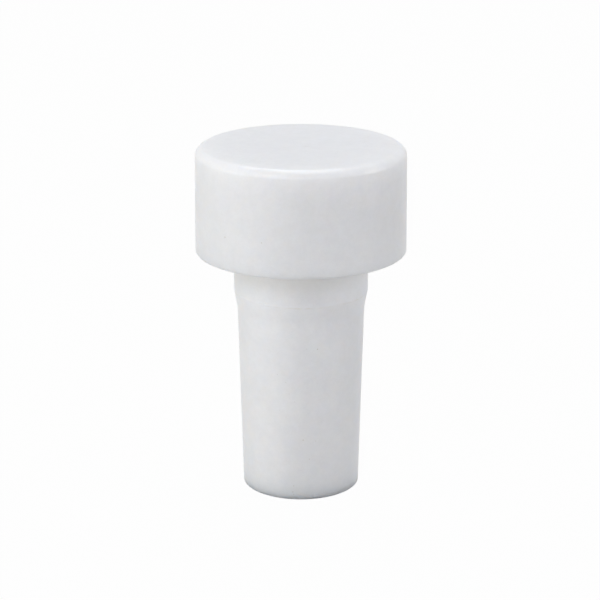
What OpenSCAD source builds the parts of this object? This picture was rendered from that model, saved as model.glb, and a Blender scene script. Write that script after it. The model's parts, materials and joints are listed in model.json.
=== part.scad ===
// Laboratory stopper, moulded in one piece of white silicone rubber.
// A wide round head, a short collar that seals in the mouth of a tube, and a tapered plug.
// Millimetres. The axis is Z, and the flat end of the plug stands on Z = 0.

/* [Collar] */
// Diameter of the collar, a little over the 16 mm bore that it seals
collar_d = 16.1; // [12:0.1:30]
// Height of the collar
collar_h = 4.8; // [2:0.1:10]

/* [Plug] */
// Length of the plug, from its free end to the collar
plug_l = 24.6; // [16:0.1:40]
// How far the collar stands out past the plug, all round
collar_step = 0.35; // [0.2:0.05:1]
// Taper of the plug's side, in degrees from the axis
plug_taper = 1.5; // [0.5:0.1:4]
// Slope of the run-out from the collar down to the plug's side, in degrees from the axis
runout_slope = 11; // [8:1:60]
// Radius of the hollow where the run-out meets the plug's side
runout_r = 4; // [1:0.5:10]
// Radius of the edge round the plug's free end
end_edge_r = 0.1; // [0.1:0.1:1]

/* [Head] */
// How far the head stands out past the collar, all round
shoulder_w = 4.45; // [2:0.05:10]
// Height of the head
head_h = 12.7; // [6:0.1:20]
// Draft of the head's side, which is widest at its lower edge, in degrees
head_draft = 0.5; // [0.1:0.1:3]
// Radius of the head's lower edge
head_edge_r = 0.3; // [0.1:0.1:1]
// Width of the curved rim, in from the head's side
rim_w = 0.9; // [0.6:0.1:1.2]
// Height of the curved rim, down from the top face
rim_h = 0.8; // [0.6:0.1:1.2]
// Radius of the curve across the rim, which meets the side and the top face at a crease
rim_r = 1.8; // [1.5:0.1:6]

/* [Hidden] */
$fn = 180;
// A circle that rounds a corner overlaps both sides by this much, so that the cut is clean
eps = 0.001;

// Heights along the axis
shoulder_z = plug_l + collar_h;
top_z = shoulder_z + head_h;
rim_z = top_z - rim_h;

// Plug: its side, carried on up, would pass collar_step inside the collar's lower edge
collar_r = collar_d / 2;
runout_h = collar_step / (tan(runout_slope) - tan(plug_taper));
root_r = collar_r - runout_h * tan(runout_slope);
root_z = plug_l - runout_h;
END = [root_r - root_z * tan(plug_taper), 0];
ROOT = [root_r, root_z];
COLLAR_EDGE = [collar_r, plug_l];
// The hollow ends before the collar's edge, whatever its radius
hollow_r = min(runout_r, 0.9 * norm(COLLAR_EDGE - ROOT) / tan((runout_slope - plug_taper) / 2));

// Head: its side leans out by the draft, from the rim down to the lower edge
head_r = collar_r + shoulder_w;
HEAD_EDGE = [head_r + (rim_z - shoulder_z) * tan(head_draft), shoulder_z];
HEAD_TIP = [head_r - rim_h * tan(head_draft), top_z];
RIM_OUT = [head_r, rim_z];
RIM_IN = [head_r - rim_w, top_z];
// Centre of the rim's curve, on the line square to its chord and inside the head
rim_chord = norm(RIM_IN - RIM_OUT);
rim_depth = sqrt(pow(rim_r, 2) - pow(rim_chord / 2, 2));
RIM_CENTRE = (RIM_OUT + RIM_IN) / 2 - [rim_h, rim_w] * rim_depth / rim_chord;

// Unit vector that points from p to q
function aim(p, q) = (q - p) / norm(q - p);

// Half the angle at corner p, between its neighbours a and b
function half_angle(a, p, b) = acos(aim(p, a) * aim(p, b)) / 2;

// Point where a circle of radius r, tucked into corner p, touches the side that leads to a
function touch(a, p, b, r) = p + aim(p, a) * r / tan(half_angle(a, p, b));

// Centre of that circle
function tuck(a, p, b, r) = p + aim([0, 0], aim(p, a) + aim(p, b)) * r / sin(half_angle(a, p, b));

// What a radius at corner p takes off, between the sides that lead to a and b
module corner_waste(a, p, b, r) {
    centre = tuck(a, p, b, r);
    difference() {
        polygon([for (q = [centre, touch(a, p, b, r), p, touch(b, p, a, r)]) 2 * q - centre]);
        translate(centre) circle(r = r + eps);
    }
}

// Tapered plug, with the run-out up to the collar hollowed where it meets the plug's side
module plug_section() {
    hollow_low = touch(END, ROOT, COLLAR_EDGE, hollow_r);
    hollow_high = touch(COLLAR_EDGE, ROOT, END, hollow_r);
    hollow_centre = tuck(END, ROOT, COLLAR_EDGE, hollow_r);
    difference() {
        polygon([[0, 0], END, hollow_low, hollow_high, COLLAR_EDGE, [0, plug_l]]);
        translate(hollow_centre) circle(r = hollow_r + eps);
        corner_waste([0, 0], END, ROOT, end_edge_r);
    }
}

// Straight collar
module collar_section() {
    translate([0, plug_l]) square([collar_r, collar_h]);
}

// What the curved rim takes off the head's upper corner
module rim_waste() {
    translate(RIM_CENTRE) difference() {
        square(2 * rim_r);
        circle(r = rim_r);
    }
}

// Head, with its rounded lower edge and the curved rim round the top face
module head_section() {
    difference() {
        polygon([[0, shoulder_z], HEAD_EDGE, HEAD_TIP, [0, top_z]]);
        corner_waste([0, shoulder_z], HEAD_EDGE, HEAD_TIP, head_edge_r);
        rim_waste();
    }
}

// The whole stopper, solid all through
module stopper() {
    color("whitesmoke") rotate_extrude() {
        plug_section();
        collar_section();
        head_section();
    }
}

stopper();
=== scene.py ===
# Laboratory stopper of white silicone rubber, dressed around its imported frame. Metres.
import bpy
import json
import math
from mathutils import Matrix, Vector


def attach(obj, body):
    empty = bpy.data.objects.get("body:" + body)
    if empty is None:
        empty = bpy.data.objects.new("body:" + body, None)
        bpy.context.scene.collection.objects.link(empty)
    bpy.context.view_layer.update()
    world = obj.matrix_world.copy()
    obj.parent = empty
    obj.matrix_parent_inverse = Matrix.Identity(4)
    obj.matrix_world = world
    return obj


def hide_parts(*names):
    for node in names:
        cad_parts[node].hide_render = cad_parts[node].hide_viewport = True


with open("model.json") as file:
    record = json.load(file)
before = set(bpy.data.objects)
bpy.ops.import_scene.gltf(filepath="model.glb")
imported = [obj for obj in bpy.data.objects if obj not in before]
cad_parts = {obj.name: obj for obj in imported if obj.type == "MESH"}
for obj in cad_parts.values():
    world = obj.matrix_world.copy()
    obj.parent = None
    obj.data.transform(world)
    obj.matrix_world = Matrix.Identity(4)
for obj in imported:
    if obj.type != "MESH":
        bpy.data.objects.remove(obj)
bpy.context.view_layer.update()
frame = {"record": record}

# Stopper: one piece of white silicone rubber, with a wide head to grip, a short collar that seals in the
# mouth of a 16 mm tube, and a tapered plug that leads it in. It is pressed solid in a mould that parts at
# the head's lower edge, so a trace of flash runs round that edge.
MM = 0.001
seats = {mount["name"]: mount for mount in frame["record"]["mounts"]}
collar_r = seats["collar"]["dims"]["r_mm"] * MM
shoulder_z = seats["shoulder"]["pos_m"][2]
collar_z = shoulder_z - seats["collar"]["dims"]["length_mm"] * MM
top_z = seats["head_top"]["pos_m"][2]

# The plug's side leans in by its taper, and the run-out leads from it up to the collar's lower edge
collar_step = 0.35 * MM
taper = math.tan(math.radians(1.5))
runout_slope = math.tan(math.radians(11))
runout_h = collar_step / (runout_slope - taper)
root_r = collar_r - runout_h * runout_slope
root_z = collar_z - runout_h
end_r = root_r - root_z * taper

# The head is widest at its lower edge, and its rim curves between two creases. The rim's turn is where the
# slopes of that curve at the creases would meet.
shoulder_w = 4.45 * MM
rim_w = 0.9 * MM
rim_h = 0.8 * MM
rim_r = 1.8 * MM
draft = math.tan(math.radians(0.5))
head_r = collar_r + shoulder_w
rim_z = top_z - rim_h
head_low_r = head_r + (rim_z - shoulder_z) * draft
rim_chord = math.hypot(rim_w, rim_h)
rim_bulge = rim_chord / 2 * math.tan(math.asin(rim_chord / 2 / rim_r))
rim_turn_r = head_r - rim_w / 2 + rim_bulge * rim_h / rim_chord
rim_turn_z = top_z - rim_h / 2 + rim_bulge * rim_w / rim_chord

# Corners of the half section, from the axis at the plug's end up to the axis at the top: radius, height and
# rounding. The three bands only mark off the stretch next to an edge or round the dimple, for finer rings.
band = 0.6 * MM
dimple_band = 0.95 * MM
CORNERS = {
    "Axis Low": (0, 0, 0),
    "Plug End": (end_r, 0, 0.1 * MM),
    "Root": (root_r, root_z, 4 * MM),
    "Collar Edge": (collar_r, collar_z, 0.25 * MM),
    "Collar Band": (collar_r, collar_z + band, 0),
    "Shoulder": (collar_r, shoulder_z, 0.15 * MM),
    "Head Edge": (head_low_r, shoulder_z, 0.3 * MM),
    "Head Band": (head_low_r - band * draft, shoulder_z + band, 0),
    "Rim Low": (head_r, rim_z, 0.9 * MM),
    "Rim Turn": (rim_turn_r, rim_turn_z, 1.1 * MM),
    "Rim Top": (head_r - rim_w, top_z, 0.4 * MM),
    "Dimple Band": (dimple_band, top_z, 0),
    "Axis Top": (0, top_z, 0),
}

# A stretch of the section that rises less than this lies flat, and a shorter one takes the finest rings
FLAT_RISE = 0.01 * MM
SHORT_STRETCH = 1 * MM

# Points added in the arc of a rounded corner, and how near two points are when they are the same one
ARC_POINTS = 6
SAME_POINT = 0.001 * MM

# Marks of the moulding: sizes in metres, and turns in radians round the axis from the front (-Y) towards +X.
# The flash's place is a share of the head edge's rounding. The ragged pattern breaks the lip where it is
# below the gap's level, and leaves it whole above the other.
MARKS = {
    "Unevenness": 0.012 * MM,
    "Uneven Patch": 5 * MM,
    "Ragged Patch": 0.8 * MM,
    "Flash Place": 0.8,
    "Flash Height": 0.02 * MM,
    "Flash Width": 0.12 * MM,
    "Trim Depth": 0.05 * MM,
    "Trim Height": 0.34 * MM,
    "Trim Softness": 0.05 * MM,
    "Trim Turn": math.radians(4),
    "Trim Spread": math.radians(22),
    "Tag Height": 0.05 * MM,
    "Tag Turn": math.radians(8),
    "Tag Spread": math.radians(7),
    "Lip Height": 0.02 * MM,
    "Lip Width": 0.14 * MM,
    "Lip Gap": 0.4,
    "Lip Whole": 0.65,
    "Nick Height": 0.08 * MM,
    "Nick Turn": math.radians(-34),
    "Nick Spread": math.radians(8),
    "Dimple Depth": 0.04 * MM,
    "Dimple Reach": 0.5 * MM,
    "Dimple Right": 0.6 * MM,
    "Dimple Forward": 0.3 * MM,
}


def add(tree, kind, inputs=None, **settings):
    """Adds a node, sets its properties, and fills its inputs by name or number with values or links."""
    node = tree.nodes.new(kind)
    for name, value in settings.items():
        setattr(node, name, value)
    for name, value in (inputs or {}).items():
        if isinstance(value, bpy.types.NodeSocket):
            tree.links.new(value, node.inputs[name])
        else:
            node.inputs[name].default_value = value
    return node


def maths(tree, operation, *values):
    """Adds a Math node on these values and returns its result."""
    return add(tree, "ShaderNodeMath", dict(enumerate(values)), operation=operation).outputs[0]


def vector_maths(tree, operation, *values):
    """Adds a Vector Math node on these values and returns the node."""
    return add(tree, "ShaderNodeVectorMath", dict(enumerate(values)), operation=operation)


def near(tree, value, centre, reach):
    """A mask that is 1 at the centre and fades to 0 at the reach on either side."""
    away = maths(tree, "ABSOLUTE", maths(tree, "SUBTRACT", value, centre))
    return add(tree, "ShaderNodeMapRange", {"Value": away, "From Min": reach, "From Max": 0.0},
               interpolation_type="SMOOTHSTEP").outputs["Result"]


def build_moulding():
    """The node tree that turns the half section round the axis and adds the marks of the moulding."""
    tree = bpy.data.node_groups.new("stopper_moulding", "GeometryNodeTree")
    sockets = {"Geometry": "NodeSocketGeometry"}
    for corner in CORNERS:
        corner_sizes = [f"{corner} Radius", f"{corner} Height", f"{corner} Rounding"]
        sockets |= dict.fromkeys(corner_sizes, "NodeSocketFloat")
    sockets |= {"Segments": "NodeSocketInt"}
    spacings = ["Side Spacing", "Face Spacing", "Edge Spacing"]
    sockets |= dict.fromkeys([*spacings, *MARKS, "Seed"], "NodeSocketFloat")
    sockets |= {"Rubber": "NodeSocketMaterial"}
    for name, kind in sockets.items():
        tree.interface.new_socket(name, in_out="INPUT", socket_type=kind)
    tree.interface.new_socket("Geometry", in_out="OUTPUT", socket_type="NodeSocketGeometry")
    given = tree.nodes.new("NodeGroupInput").outputs

    # Half section: a line of as many points as there are corners, put in place and rounded
    index = add(tree, "GeometryNodeInputIndex").outputs[0]
    place = add(tree, "GeometryNodeIndexSwitch", {"Index": index}, data_type="VECTOR")
    rounding = add(tree, "GeometryNodeIndexSwitch", {"Index": index}, data_type="FLOAT")
    for switch in (place, rounding):
        while len(switch.index_switch_items) < len(CORNERS):
            switch.index_switch_items.new()
    for number, corner in enumerate(CORNERS):
        corner_place = {"X": given[f"{corner} Radius"], "Z": given[f"{corner} Height"]}
        point = add(tree, "ShaderNodeCombineXYZ", corner_place)
        tree.links.new(point.outputs[0], place.inputs[number + 1])
        tree.links.new(given[f"{corner} Rounding"], rounding.inputs[number + 1])
    line = add(tree, "GeometryNodeCurvePrimitiveLine")
    points = add(tree, "GeometryNodeResampleCurve", {"Curve": line.outputs[0], "Count": len(CORNERS)})
    section = add(tree, "GeometryNodeSetPosition", {"Geometry": points.outputs[0],
                  "Position": place.outputs[0]})
    rounded = add(tree, "GeometryNodeFilletCurve", {"Curve": section.outputs[0], "Count": ARC_POINTS,
                  "Radius": rounding.outputs[0], "Limit Radius": True}, mode="POLY")

    # Straight stretches are cut up: finely in the bands next to an edge, and coarsely where they lie flat
    here = add(tree, "GeometryNodeInputPosition").outputs[0]
    next_index = maths(tree, "ADD", index, 1)
    following = add(tree, "GeometryNodeFieldAtIndex", {"Value": here, "Index": next_index},
                    data_type="FLOAT_VECTOR", domain="POINT").outputs[0]
    step = vector_maths(tree, "SUBTRACT", following, here).outputs[0]
    length = vector_maths(tree, "LENGTH", step).outputs["Value"]
    rise = maths(tree, "ABSOLUTE", add(tree, "ShaderNodeSeparateXYZ", {0: step}).outputs["Z"])
    lies_flat = maths(tree, "LESS_THAN", rise, FLAT_RISE)
    long_spacing = add(tree, "GeometryNodeSwitch", {"Switch": lies_flat, "False": given["Side Spacing"],
                       "True": given["Face Spacing"]}, input_type="FLOAT").outputs[0]
    is_short = maths(tree, "LESS_THAN", length, SHORT_STRETCH)
    spacing = add(tree, "GeometryNodeSwitch", {"Switch": is_short, "False": long_spacing,
                  "True": given["Edge Spacing"]}, input_type="FLOAT").outputs[0]
    cuts = maths(tree, "FLOOR", maths(tree, "DIVIDE", length, spacing))
    divided = add(tree, "GeometryNodeSubdivideCurve", {"Curve": rounded.outputs[0], "Cuts": cuts}).outputs[0]

    # A grid takes one row from each point of the section and wraps round the axis
    counts = add(tree, "GeometryNodeAttributeDomainSize", {"Geometry": divided}, component="CURVE")
    rows = counts.outputs["Point Count"]
    columns = maths(tree, "ADD", given["Segments"], 1)
    grid = add(tree, "GeometryNodeMeshGrid", {"Size X": 1, "Size Y": 1, "Vertices X": rows,
               "Vertices Y": columns}).outputs[0]
    spot = add(tree, "ShaderNodeSeparateXYZ", {0: here}).outputs
    last_row = maths(tree, "SUBTRACT", rows, 1)
    row = maths(tree, "ROUND", maths(tree, "MULTIPLY", maths(tree, "ADD", spot["X"], 0.5), last_row))
    angle = maths(tree, "MULTIPLY", maths(tree, "ADD", spot["Y"], 0.5), math.tau)
    source = add(tree, "GeometryNodeSampleIndex", {"Geometry": divided, "Value": here, "Index": row},
                 data_type="FLOAT_VECTOR", domain="POINT").outputs[0]
    wrapped = add(tree, "ShaderNodeVectorRotate", {"Vector": source, "Angle": angle},
                  rotation_type="Z_AXIS", invert=True).outputs[0]
    shell = add(tree, "GeometryNodeSetPosition", {"Geometry": grid, "Position": wrapped}).outputs[0]
    closed = add(tree, "GeometryNodeMergeByDistance", {"Geometry": shell, "Distance": SAME_POINT}).outputs[0]

    def slant(run, climb):
        """The length of a slanting line, from how far it runs and how far it climbs."""
        squares = [maths(tree, "POWER", side, 2) for side in (run, climb)]
        return maths(tree, "SQRT", maths(tree, "ADD", *squares))

    # Where a point of the skin lies: its height, its turn from the front, and how far it is from the head's
    # lower edge
    height = spot["Z"]
    turn = maths(tree, "ARCTAN2", spot["X"], maths(tree, "MULTIPLY", spot["Y"], -1))
    radius = slant(spot["X"], spot["Y"])
    out = maths(tree, "SUBTRACT", radius, given["Head Edge Radius"])
    up = maths(tree, "SUBTRACT", height, given["Head Edge Height"])
    from_edge = slant(out, up)

    def patches(size):
        """A smooth pattern from 0 to 1, in patches of this size."""
        return add(tree, "ShaderNodeTexNoise", {"Vector": here, "W": given["Seed"], "Detail": 0.0,
                   "Scale": maths(tree, "DIVIDE", 1, size)}, noise_dimensions="4D").outputs["Fac"]

    # The skin dips unevenly, always inwards
    below_full = maths(tree, "SUBTRACT", patches(given["Uneven Patch"]), 1)
    dips = maths(tree, "MULTIPLY", below_full, given["Unevenness"])

    # Flash stands out round the head's lower edge, but one stretch was trimmed with a blade, which left a
    # tag. The cut is ragged: from half to one and a half times its height.
    ragged = patches(given["Ragged Patch"])
    cut = near(tree, turn, given["Trim Turn"], given["Trim Spread"])
    ragged_height = maths(tree, "MULTIPLY", given["Trim Height"], maths(tree, "ADD", ragged, 0.5))
    past_cut = maths(tree, "SUBTRACT", from_edge, maths(tree, "MULTIPLY", ragged_height, cut))
    cut_face = add(tree, "ShaderNodeMapRange", {"Value": past_cut, "From Min": given["Trim Softness"],
                   "From Max": maths(tree, "MULTIPLY", given["Trim Softness"], -1)},
                   interpolation_type="SMOOTHSTEP").outputs["Result"]
    trim = maths(tree, "MULTIPLY", maths(tree, "MULTIPLY", cut_face, cut), given["Trim Depth"])
    uncut = maths(tree, "MULTIPLY", maths(tree, "SUBTRACT", 1, cut), ragged)
    flash_place = maths(tree, "MULTIPLY", given["Head Edge Rounding"], given["Flash Place"])
    flash_line = near(tree, up, flash_place, given["Flash Width"])
    flash = maths(tree, "MULTIPLY", maths(tree, "MULTIPLY", flash_line, uncut), given["Flash Height"])
    tag_face = maths(tree, "MULTIPLY", near(tree, turn, given["Tag Turn"], given["Tag Spread"]),
                     near(tree, from_edge, 0.0, given["Flash Width"]))
    tag = maths(tree, "MULTIPLY", tag_face, given["Tag Height"])

    # The collar's lower edge has a fine broken lip, which is thicker at one nick
    broken = add(tree, "ShaderNodeMapRange", {"Value": ragged, "From Min": given["Lip Gap"],
                 "From Max": given["Lip Whole"]}).outputs["Result"]
    nick_face = near(tree, turn, given["Nick Turn"], given["Nick Spread"])
    nick = maths(tree, "MULTIPLY", nick_face, given["Nick Height"])
    lip_height = maths(tree, "ADD", maths(tree, "MULTIPLY", broken, given["Lip Height"]), nick)
    lip_middle = maths(tree, "ADD", given["Collar Edge Height"], given["Lip Width"])
    lip = maths(tree, "MULTIPLY", lip_height, near(tree, height, lip_middle, given["Lip Width"]))

    # The top face has a shallow dimple near its middle
    dimple_y = maths(tree, "MULTIPLY", given["Dimple Forward"], -1)
    dimple_place = add(tree, "ShaderNodeCombineXYZ", {"X": given["Dimple Right"], "Y": dimple_y,
                       "Z": given["Axis Top Height"]}).outputs[0]
    from_dimple = vector_maths(tree, "DISTANCE", here, dimple_place).outputs["Value"]
    dimple_face = near(tree, from_dimple, 0.0, given["Dimple Reach"])
    dimple = maths(tree, "MULTIPLY", dimple_face, given["Dimple Depth"])

    hollows = maths(tree, "ADD", trim, dimple)
    raised = maths(tree, "ADD", maths(tree, "ADD", flash, tag), maths(tree, "SUBTRACT", lip, hollows))
    normal = add(tree, "GeometryNodeInputNormal").outputs[0]
    lift = maths(tree, "ADD", dips, raised)
    offset = add(tree, "ShaderNodeVectorMath", {0: normal, "Scale": lift}, operation="SCALE").outputs[0]
    marked = add(tree, "GeometryNodeSetPosition", {"Geometry": closed, "Offset": offset}).outputs[0]
    smooth = add(tree, "GeometryNodeSetShadeSmooth", {"Geometry": marked}).outputs[0]
    whole = add(tree, "GeometryNodeRealizeInstances", {"Geometry": smooth}).outputs[0]
    finished = add(tree, "GeometryNodeSetMaterial", {"Geometry": whole, "Material": given["Rubber"]})
    add(tree, "NodeGroupOutput", {"Geometry": finished.outputs[0]})
    return tree


# Colours of the rubber, from its dullest white to its brightest, of the dirt on it, and of its grime, which
# also paints the shade under the head and in the crease below the collar's lip
DULL_WHITE = (0.738, 0.745, 0.767, 1)
BRIGHT_WHITE = (0.898, 0.905, 0.928, 1)
DIRT = (0.42, 0.36, 0.26, 1)
SHADE_AND_GRIME = (0.74, 0.72, 0.66, 1)

# Dirt pressed into the skin: turn from the front in degrees, height and radius in millimetres, how dark
SPECKS = [
    (-44, 33.5, 0.11, 0.5), (-21, 33.6, 0.10, 0.4), (15, 19.3, 0.10, 0.5), (5, 19.4, 0.08, 0.2),
    (-22, 16.0, 0.08, 0.3), (-14, 15.1, 0.08, 0.3), (-11, 13.7, 0.08, 0.2), (-6, 12.7, 0.08, 0.2),
    (-20, 11.5, 0.08, 0.2), (-14, 10.7, 0.08, 0.2), (2, 7.8, 0.10, 0.5), (14, 7.6, 0.08, 0.3),
    (8, 5.3, 0.09, 0.4), (-27, 4.1, 0.08, 0.2), (-7, 1.8, 0.09, 0.4), (-8, 1.0, 0.09, 0.5),
    (-7, 0.7, 0.08, 0.5), (63, 31.5, 0.09, 0.4), (97, 12.0, 0.10, 0.4), (132, 38.0, 0.09, 0.4),
    (155, 20.5, 0.08, 0.4), (-168, 33.5, 0.10, 0.4), (-140, 8.0, 0.09, 0.4), (-118, 26.8, 0.08, 0.3),
    (-95, 17.0, 0.10, 0.4),
]


def side_radius(z):
    """Radius of the stopper's side at this height, with the run-out taken as wide as the collar."""
    if z > shoulder_z:
        return head_r + (rim_z - z) * draft
    if z < root_z:
        return end_r + z * taper
    return collar_r


def build_rubber():
    """White silicone, in which light spreads some millimetres, with a satin and slightly cloudy skin."""
    material = bpy.data.materials.new("silicone_rubber")
    material.use_nodes = True
    tree = material.node_tree
    tree.nodes.clear()
    place = add(tree, "ShaderNodeTexCoord").outputs["Object"]
    height = add(tree, "ShaderNodeSeparateXYZ", {0: place}).outputs["Z"]

    def clouds(size, detail, roughness=0.5):
        """A cloudy pattern from 0 to 1, in patches of this size."""
        return add(tree, "ShaderNodeTexNoise", {"Vector": place, "Scale": 1 / size, "Detail": detail,
                   "Roughness": roughness}).outputs["Fac"]

    # Broad and fine clouding of the filler: 0.3 of the broad one and 0.7 of the fine one
    broad = clouds(3 * MM, 2.0)
    fine = clouds(1.2 * MM, 4.0, 0.85)
    broad_part = maths(tree, "MULTIPLY", broad, 0.3)
    fine_part = maths(tree, "MULTIPLY", fine, 0.7)
    cloud = maths(tree, "ADD", broad_part, fine_part)
    white = add(tree, "ShaderNodeMix", {"Factor": cloud, "A": DULL_WHITE, "B": BRIGHT_WHITE},
                data_type="RGBA").outputs["Result"]

    # Specks of dirt, and the colour a little darker round the dimple
    dirt = 0.0
    for turn, speck_height, speck_radius, darkness in SPECKS:
        speck_z = speck_height * MM
        side = side_radius(speck_z)
        angle = math.radians(turn)
        centre = (side * math.sin(angle), -side * math.cos(angle), speck_z)
        away = vector_maths(tree, "DISTANCE", place, centre).outputs["Value"]
        radius = speck_radius * MM
        spot = add(tree, "ShaderNodeMapRange", {"Value": away, "From Min": radius, "From Max": radius / 3,
                   "To Max": darkness}, interpolation_type="SMOOTHSTEP").outputs["Result"]
        dirt = maths(tree, "MAXIMUM", spot, dirt)
    dimple_place = (MARKS["Dimple Right"], -MARKS["Dimple Forward"], top_z)
    dimple_dark_reach = 0.8 * MM
    dimple_darkness = 0.04
    from_dimple = vector_maths(tree, "DISTANCE", place, dimple_place).outputs["Value"]
    dimple_darkening = maths(tree, "MULTIPLY", near(tree, from_dimple, 0.0, dimple_dark_reach), dimple_darkness)
    dirt = maths(tree, "MAXIMUM", dirt, dimple_darkening)
    dirty = add(tree, "ShaderNodeMix", {"Factor": dirt, "A": white, "B": DIRT},
                data_type="RGBA").outputs["Result"]

    # A trace of grime all over, painted shade under the head, and a thin broken line of painted shade in the
    # crease below the collar's lip, all blotched by the broad clouding
    trace = 0.05
    head_shade_level = 0.5
    head_shade_z = shoulder_z - 1.5 * MM
    head_shade_reach = 2.4 * MM
    lip_line_z = collar_z - 0.06 * MM
    lip_line_reach = 0.13 * MM
    # Painted shade: a band darkened where the head shades the collar and the top of the plug
    head_shade = near(tree, height, head_shade_z, head_shade_reach)
    painted_shade_under_head = maths(tree, "MULTIPLY", head_shade, head_shade_level)
    patchy = add(tree, "ShaderNodeMapRange", {"Value": clouds(0.8 * MM, 2.0), "From Min": 0.45,
                 "From Max": 0.65}).outputs["Result"]
    # Painted shade: a dark broken line in the crease just below the collar's lip
    painted_lip_shade = maths(tree, "MULTIPLY", near(tree, height, lip_line_z, lip_line_reach), patchy)
    shade_and_grime_amount = maths(tree, "ADD", maths(tree, "MAXIMUM", painted_shade_under_head, painted_lip_shade), trace)
    shade_and_grime = maths(tree, "MULTIPLY", shade_and_grime_amount, broad)
    colour = add(tree, "ShaderNodeMix", {"Factor": shade_and_grime, "A": dirty, "B": SHADE_AND_GRIME},
                 data_type="RGBA").outputs["Result"]

    # Satin skin with a fine grain, and faint turned lines off the mould. The node draws about 3.2 lines in a
    # unit of its scale, so they are 0.44 mm apart.
    line_unit = 1.4 * MM
    line_share = 0.3
    lines = add(tree, "ShaderNodeTexWave", {"Vector": place, "Scale": 1 / line_unit, "Distortion": 1.5,
                "Detail": 2.0, "Detail Scale": 2.0}, bands_direction="Z").outputs["Fac"]
    grain = maths(tree, "ADD", clouds(0.25 * MM, 2.0), maths(tree, "MULTIPLY", lines, line_share))
    bump = add(tree, "ShaderNodeBump", {"Strength": 0.2, "Distance": 0.001 * MM, "Height": grain}).outputs[0]
    satin = add(tree, "ShaderNodeMapRange", {"Value": clouds(1.5 * MM, 2.0), "To Min": 0.285,
                "To Max": 0.335}).outputs["Result"]
    shader = add(tree, "ShaderNodeBsdfPrincipled", {
        "Base Color": colour, "Roughness": satin, "IOR": 1.41, "Specular IOR Level": 0.4, "Normal": bump,
        "Subsurface Weight": 1.0, "Subsurface Radius": (1.0, 0.9, 0.8), "Subsurface Scale": 4.5 * MM})
    add(tree, "ShaderNodeOutputMaterial", {"Surface": shader.outputs[0]})
    return material


moulding = build_moulding()
values = {"Segments": 320, "Side Spacing": 0.3 * MM, "Face Spacing": 0.5 * MM, "Edge Spacing": 0.06 * MM,
          "Seed": 7.0, "Rubber": build_rubber()}
values |= MARKS
for corner, (radius, height, rounding) in CORNERS.items():
    values |= {f"{corner} Radius": radius, f"{corner} Height": height, f"{corner} Rounding": rounding}
blank = bpy.data.objects.new("stopper_blank", bpy.data.meshes.new("stopper_blank"))
bpy.context.scene.collection.objects.link(blank)
modifier = blank.modifiers.new("moulding", "NODES")
modifier.node_group = moulding
for socket in moulding.interface.items_tree:
    if socket.in_out == "INPUT" and socket.name in values:
        modifier[socket.identifier] = values[socket.name]
shaped = blank.evaluated_get(bpy.context.evaluated_depsgraph_get())
stopper = bpy.data.objects.new("silicone_stopper", bpy.data.meshes.new_from_object(shaped))
bpy.context.scene.collection.objects.link(stopper)
bpy.data.objects.remove(blank)
# The blank's empty material slot comes first, so it goes
stopper.data.materials.pop(index=0)
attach(stopper, "root")
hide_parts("stopper")

# Bench: a matt bench top, which the stopper stands on by its plug's flat end. It shows white, as its
# backdrop does, apart from a trace of the stopper's shadow.
bench_reach = 1.5
bench_grey = (0.5, 0.5, 0.5, 1)
bench_whiteness = 0.98
bench_corners = [(x * bench_reach, y * bench_reach, 0) for x, y in ((-1, -1), (1, -1), (1, 1), (-1, 1))]
bench_mesh = bpy.data.meshes.new("bench")
bench_mesh.from_pydata(bench_corners, [], [(0, 1, 2, 3)])
bench = bpy.data.objects.new("bench", bench_mesh)
bpy.context.scene.collection.objects.link(bench)


def seen(tree):
    """A mask of the rays that see a white surround: the camera's, and those in a gloss or through glass."""
    rays = add(tree, "ShaderNodeLightPath").outputs
    gloss_or_glass = maths(tree, "MAXIMUM", rays["Is Glossy Ray"], rays["Is Transmission Ray"])
    return maths(tree, "MAXIMUM", rays["Is Camera Ray"], gloss_or_glass)


bench_top = bpy.data.materials.new("bench_top")
bench_top.use_nodes = True
top_tree = bench_top.node_tree
top_tree.nodes.clear()
matt = add(top_tree, "ShaderNodeBsdfDiffuse", {"Color": bench_grey})
glow = add(top_tree, "ShaderNodeEmission", {"Color": (1, 1, 1, 1), "Strength": 1.0})
whiteness = maths(top_tree, "MULTIPLY", seen(top_tree), bench_whiteness)
top_mix = add(top_tree, "ShaderNodeMixShader", {0: whiteness, 1: matt.outputs[0], 2: glow.outputs[0]})
add(top_tree, "ShaderNodeOutputMaterial", {"Surface": top_mix.outputs[0]})
bench_mesh.materials.append(bench_top)

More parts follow.
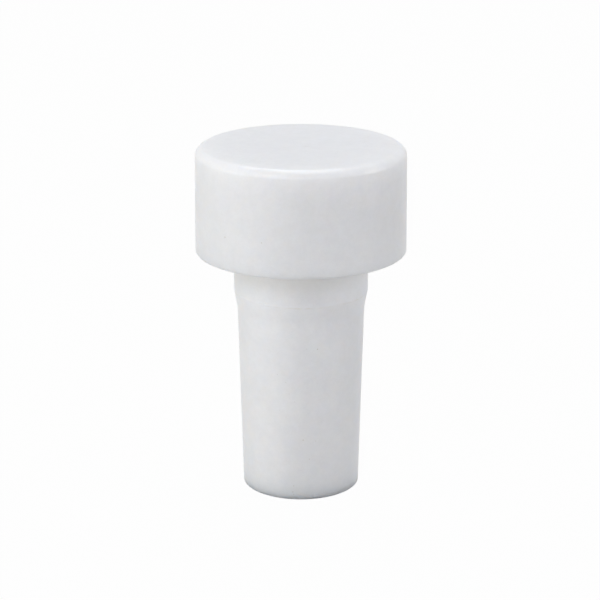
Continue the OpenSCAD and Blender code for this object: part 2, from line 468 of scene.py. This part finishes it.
# Studio: a white surround and six soft lamps, each a lit panel that faces the stopper. A low one stands on
# each side, two in front, one overhead and one high behind.
ambient = 0.12
backdrop_white = 0.99
world = bpy.data.worlds.new("studio")
bpy.context.scene.world = world
world.use_nodes = True
sky = world.node_tree
sky.nodes.clear()
level = add(sky, "ShaderNodeMix", {"Factor": seen(sky), "A": ambient, "B": backdrop_white},
            data_type="FLOAT")
backdrop = add(sky, "ShaderNodeBackground", {"Color": (1, 1, 1, 1), "Strength": level.outputs[0]})
add(sky, "ShaderNodeOutputWorld", {"Surface": backdrop.outputs[0]})

# Each lamp: turn from the front and rise in degrees, width and height in metres, colour, and how bright its
# face is
LAMPS = {
    "left": (-78, 6, 0.32, 0.16, (1, 0.99, 0.92), 6.9),
    "front": (-38, 38, 0.2, 0.2, (0.915, 0.95, 1), 7.0),
    "low_front": (-8, 10, 0.36, 0.2, (1, 0.975, 0.955), 4.8),
    "right": (86, 14, 0.16, 0.3, (0.98, 0.985, 1), 8.0),
    "overhead": (160, 80, 0.3, 0.3, (0.955, 0.972, 1), 4.2),
    "back": (-173, 56, 0.32, 0.1, (0.96, 0.975, 1), 7.2),
}
lamp_centre = Vector((0, 0, 25 * MM))
lamp_distance = 0.6
for name, (turn, rise, width, height, tint, brightness) in LAMPS.items():
    lamp = bpy.data.lights.new(name, "AREA")
    lamp.shape = "RECTANGLE"
    lamp.size = width
    lamp.size_y = height
    lamp.color = tint
    lamp.energy = brightness * math.pi * width * height
    across = math.radians(turn)
    up = math.radians(rise)
    towards = Vector((math.sin(across) * math.cos(up), -math.cos(across) * math.cos(up), math.sin(up)))
    holder = bpy.data.objects.new(name, lamp)
    holder.location = lamp_centre + towards * lamp_distance
    holder.rotation_euler = (-towards).to_track_quat("-Z", "Y").to_euler()
    holder.visible_camera = False
    bpy.context.scene.collection.objects.link(holder)

# Camera: a long lens that looks down at the stopper from the front, at 18 degrees. It stands a quarter of a
# metre away, and aims a little above the stopper's middle.
lens = bpy.data.cameras.new("camera")
lens.lens = 122.11
lens.sensor_width = 36
lens.clip_start = 0.01
camera = bpy.data.objects.new("camera", lens)
bpy.context.scene.collection.objects.link(camera)
view_rise = math.radians(17.744)
view_distance = 245.3 * MM
view_centre = Vector((-0.12 * MM, 0, 23.05 * MM))
view_towards = Vector((0, -math.cos(view_rise), math.sin(view_rise)))
camera.location = view_centre + view_towards * view_distance
camera.rotation_euler = (-view_towards).to_track_quat("-Z", "Y").to_euler()
bpy.context.scene.camera = camera
bpy.context.scene.view_settings.view_transform = "Standard"
